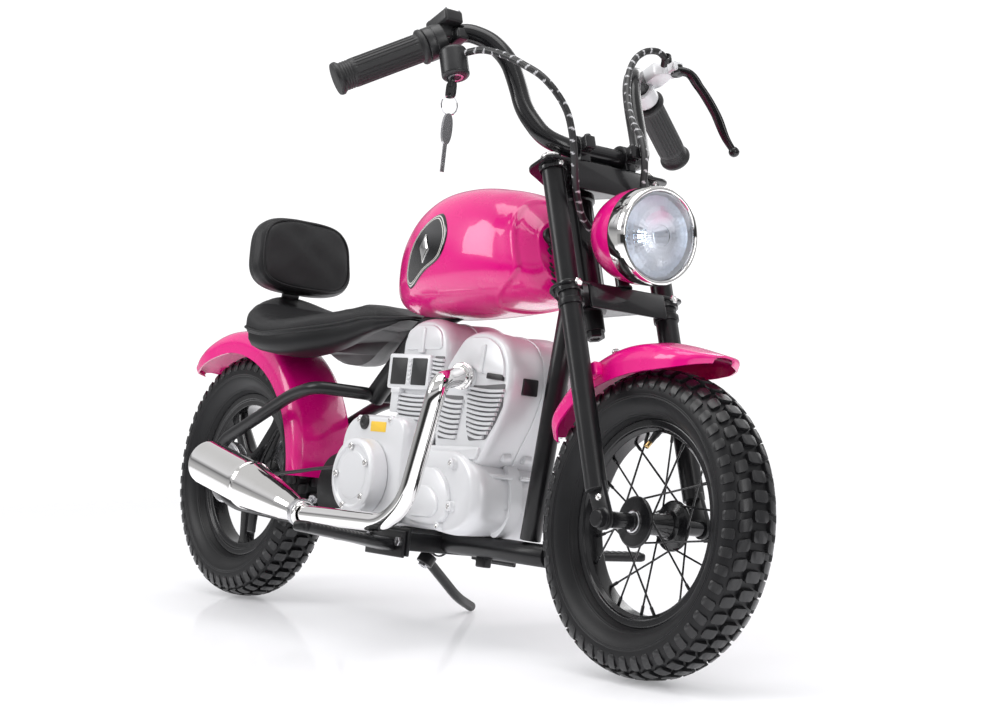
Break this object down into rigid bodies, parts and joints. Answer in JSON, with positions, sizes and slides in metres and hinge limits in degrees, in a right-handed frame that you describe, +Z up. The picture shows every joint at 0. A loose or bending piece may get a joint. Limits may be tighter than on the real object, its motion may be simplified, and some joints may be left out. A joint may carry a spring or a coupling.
{
  "type": "kids electric motorcycle",
  "caption": "Small electric ride-on motorcycle with fuel tank shell, cushioned seat and backrest, spoked front wheel, cast rear wheel, round headlight and kickstand.",
  "frame": {"origin": "on the ground, at the middle of the bounding box of the bike as it leans on its kickstand", "axes": "+X points forwards along the bike, +Y to the rider's left, +Z up. The bike leans 9 degrees to its left on the kickstand."},
  "size_m": [1.21, 0.6092, 0.7484],
  "materials": {
    "black_frame_paint": "glossy black powder coat on steel",
    "seat_vinyl": "black grained vinyl over foam",
    "battery_case": "dark plastic battery case",
    "zinc_steel": "bright zinc-plated steel",
    "black_plastic": "satin black moulded plastic",
    "silver_plastic": "silver-grey moulded plastic",
    "chrome": "bright chrome plate",
    "pink_gloss": "glossy hot pink moulded plastic",
    "tyre_rubber": "black tyre rubber",
    "clear_lens": "clear ribbed plastic lens",
    "grip_rubber": "ribbed soft black rubber"
  },
  "bodies": {
    "frame": {"head_tube": "black_frame_paint", "backbone_tube": "black_frame_paint", "down_tube": "black_frame_paint", "bottom_tube": "black_frame_paint", "rear_upper_stay_right": "black_frame_paint", "rear_upper_stay_left": "black_frame_paint", "rear_lower_stay_right": "black_frame_paint", "rear_lower_stay_left": "black_frame_paint", "footrest_right": "black_frame_paint", "footrest_left": "black_frame_paint", "footrest_bracket": "black_frame_paint", "seat_pan": "black_plastic", "seat_cushion": "seat_vinyl", "backrest_post": "black_frame_paint", "backrest_pad": "seat_vinyl", "rear_fender": "pink_gloss", "tank_shell": "pink_gloss", "engine_cover_right": "silver_plastic", "engine_cover_left": "silver_plastic", "clutch_cover": "silver_plastic", "battery_pack": "battery_case", "exhaust_pipe": "chrome", "muffler": "chrome", "drive_motor": "black_frame_paint", "drive_chain": "zinc_steel", "rear_axle": "zinc_steel", "brake_plate": "black_frame_paint", "rear_brake_cable": "black_plastic"},
    "steering_group": {"fork_leg_right": "black_frame_paint", "fork_leg_left": "black_frame_paint", "lower_clamp": "black_frame_paint", "upper_clamp": "black_frame_paint", "steering_stem": "zinc_steel", "front_axle": "zinc_steel", "front_fender": "pink_gloss", "handlebar": "black_frame_paint", "bar_clamp_right": "black_frame_paint", "bar_clamp_left": "black_frame_paint", "left_grip": "grip_rubber", "throttle_housing": "black_plastic", "brake_perch": "zinc_steel", "headlight_bowl": "pink_gloss", "headlight_rim": "chrome", "headlight_lens": "clear_lens", "headlight_reflector": "chrome", "throttle_cable": "black_plastic", "brake_cable": "black_plastic"},
    "front_wheel": {"front_tyre": "tyre_rubber", "front_rim": "black_frame_paint", "front_hub": "black_frame_paint"},
    "rear_wheel_group": {"rear_tyre": "tyre_rubber", "rear_wheel": "black_frame_paint", "rear_sprocket": "zinc_steel"},
    "motor_pinion": {"motor_sprocket": "zinc_steel"},
    "throttle": {"throttle_grip": "grip_rubber"},
    "hand_lever": {"brake_lever": "black_frame_paint"},
    "rear_brake_arm": {"brake_arm": "zinc_steel"},
    "kickstand": {"kickstand_leg": "black_frame_paint"},
    "key": {"ignition_key": "black_plastic"},
    "hanging_key": {"spare_key": "zinc_steel"}
  },
  "joints": [
    {"name": "steering", "type": "hinge", "parent": "frame", "child": "steering_group", "pos_m": [0.2839, -0.00333, 0.40437], "axis": [-0.3681, 0.1454, 0.9183], "range_deg": [-35, 35]},
    {"name": "front_wheel_spin", "type": "hinge", "parent": "steering_group", "child": "front_wheel", "pos_m": [0.435, -0.04051, 0.16963], "axis": [0, 0.9877, -0.1564], "continuous": true},
    {"name": "rear_wheel_spin", "type": "hinge", "parent": "frame", "child": "rear_wheel_group", "pos_m": [-0.435, -0.04051, 0.16963], "axis": [0, 0.9877, -0.1564], "continuous": true},
    {"name": "motor_spin", "type": "hinge", "parent": "frame", "child": "motor_pinion", "pos_m": [-0.163, 0.00973, 0.15762], "axis": [0, 0.9877, -0.1564], "continuous": true},
    {"name": "throttle_twist", "type": "hinge", "parent": "steering_group", "child": "throttle", "pos_m": [0.13489, -0.12814, 0.71496], "axis": [-0.3472, -0.8702, -0.3495], "range_deg": [0, 60], "stiffness_Nm_per_rad": 0.15},
    {"name": "brake_lever_pull", "type": "hinge", "parent": "steering_group", "child": "hand_lever", "pos_m": [0.18744, 0.21727, 0.69639], "axis": [0.1373, 0.8549, 0.5002], "range_deg": [0, 25], "stiffness_Nm_per_rad": 1},
    {"name": "brake_arm_swing", "type": "hinge", "parent": "frame", "child": "rear_brake_arm", "pos_m": [-0.411, -0.09022, 0.19775], "axis": [0, -0.9877, 0.1564], "range_deg": [0, 12.5]},
    {"name": "kickstand_fold", "type": "hinge", "parent": "frame", "child": "kickstand", "pos_m": [-0.035, -0.02142, 0.08561], "axis": [0.0883, 0.601, 0.7943], "range_deg": [0, 53]},
    {"name": "key_turn", "type": "hinge", "parent": "steering_group", "child": "key", "pos_m": [0.172, -0.11247, 0.69333], "axis": [0, 0.1564, 0.9877], "range_deg": [0, 75]},
    {"name": "spare_key_swing", "type": "hinge", "parent": "key", "child": "hanging_key", "pos_m": [0.172, -0.11857, 0.65481], "axis": [0, 0.9877, -0.1564], "range_deg": [-60, 60]}
  ],
  "couplings": [
    {"joint": "motor_spin", "follows": "rear_wheel_spin", "ratio": 4},
    {"joint": "brake_arm_swing", "follows": "brake_lever_pull", "ratio": 0.5}
  ]
}
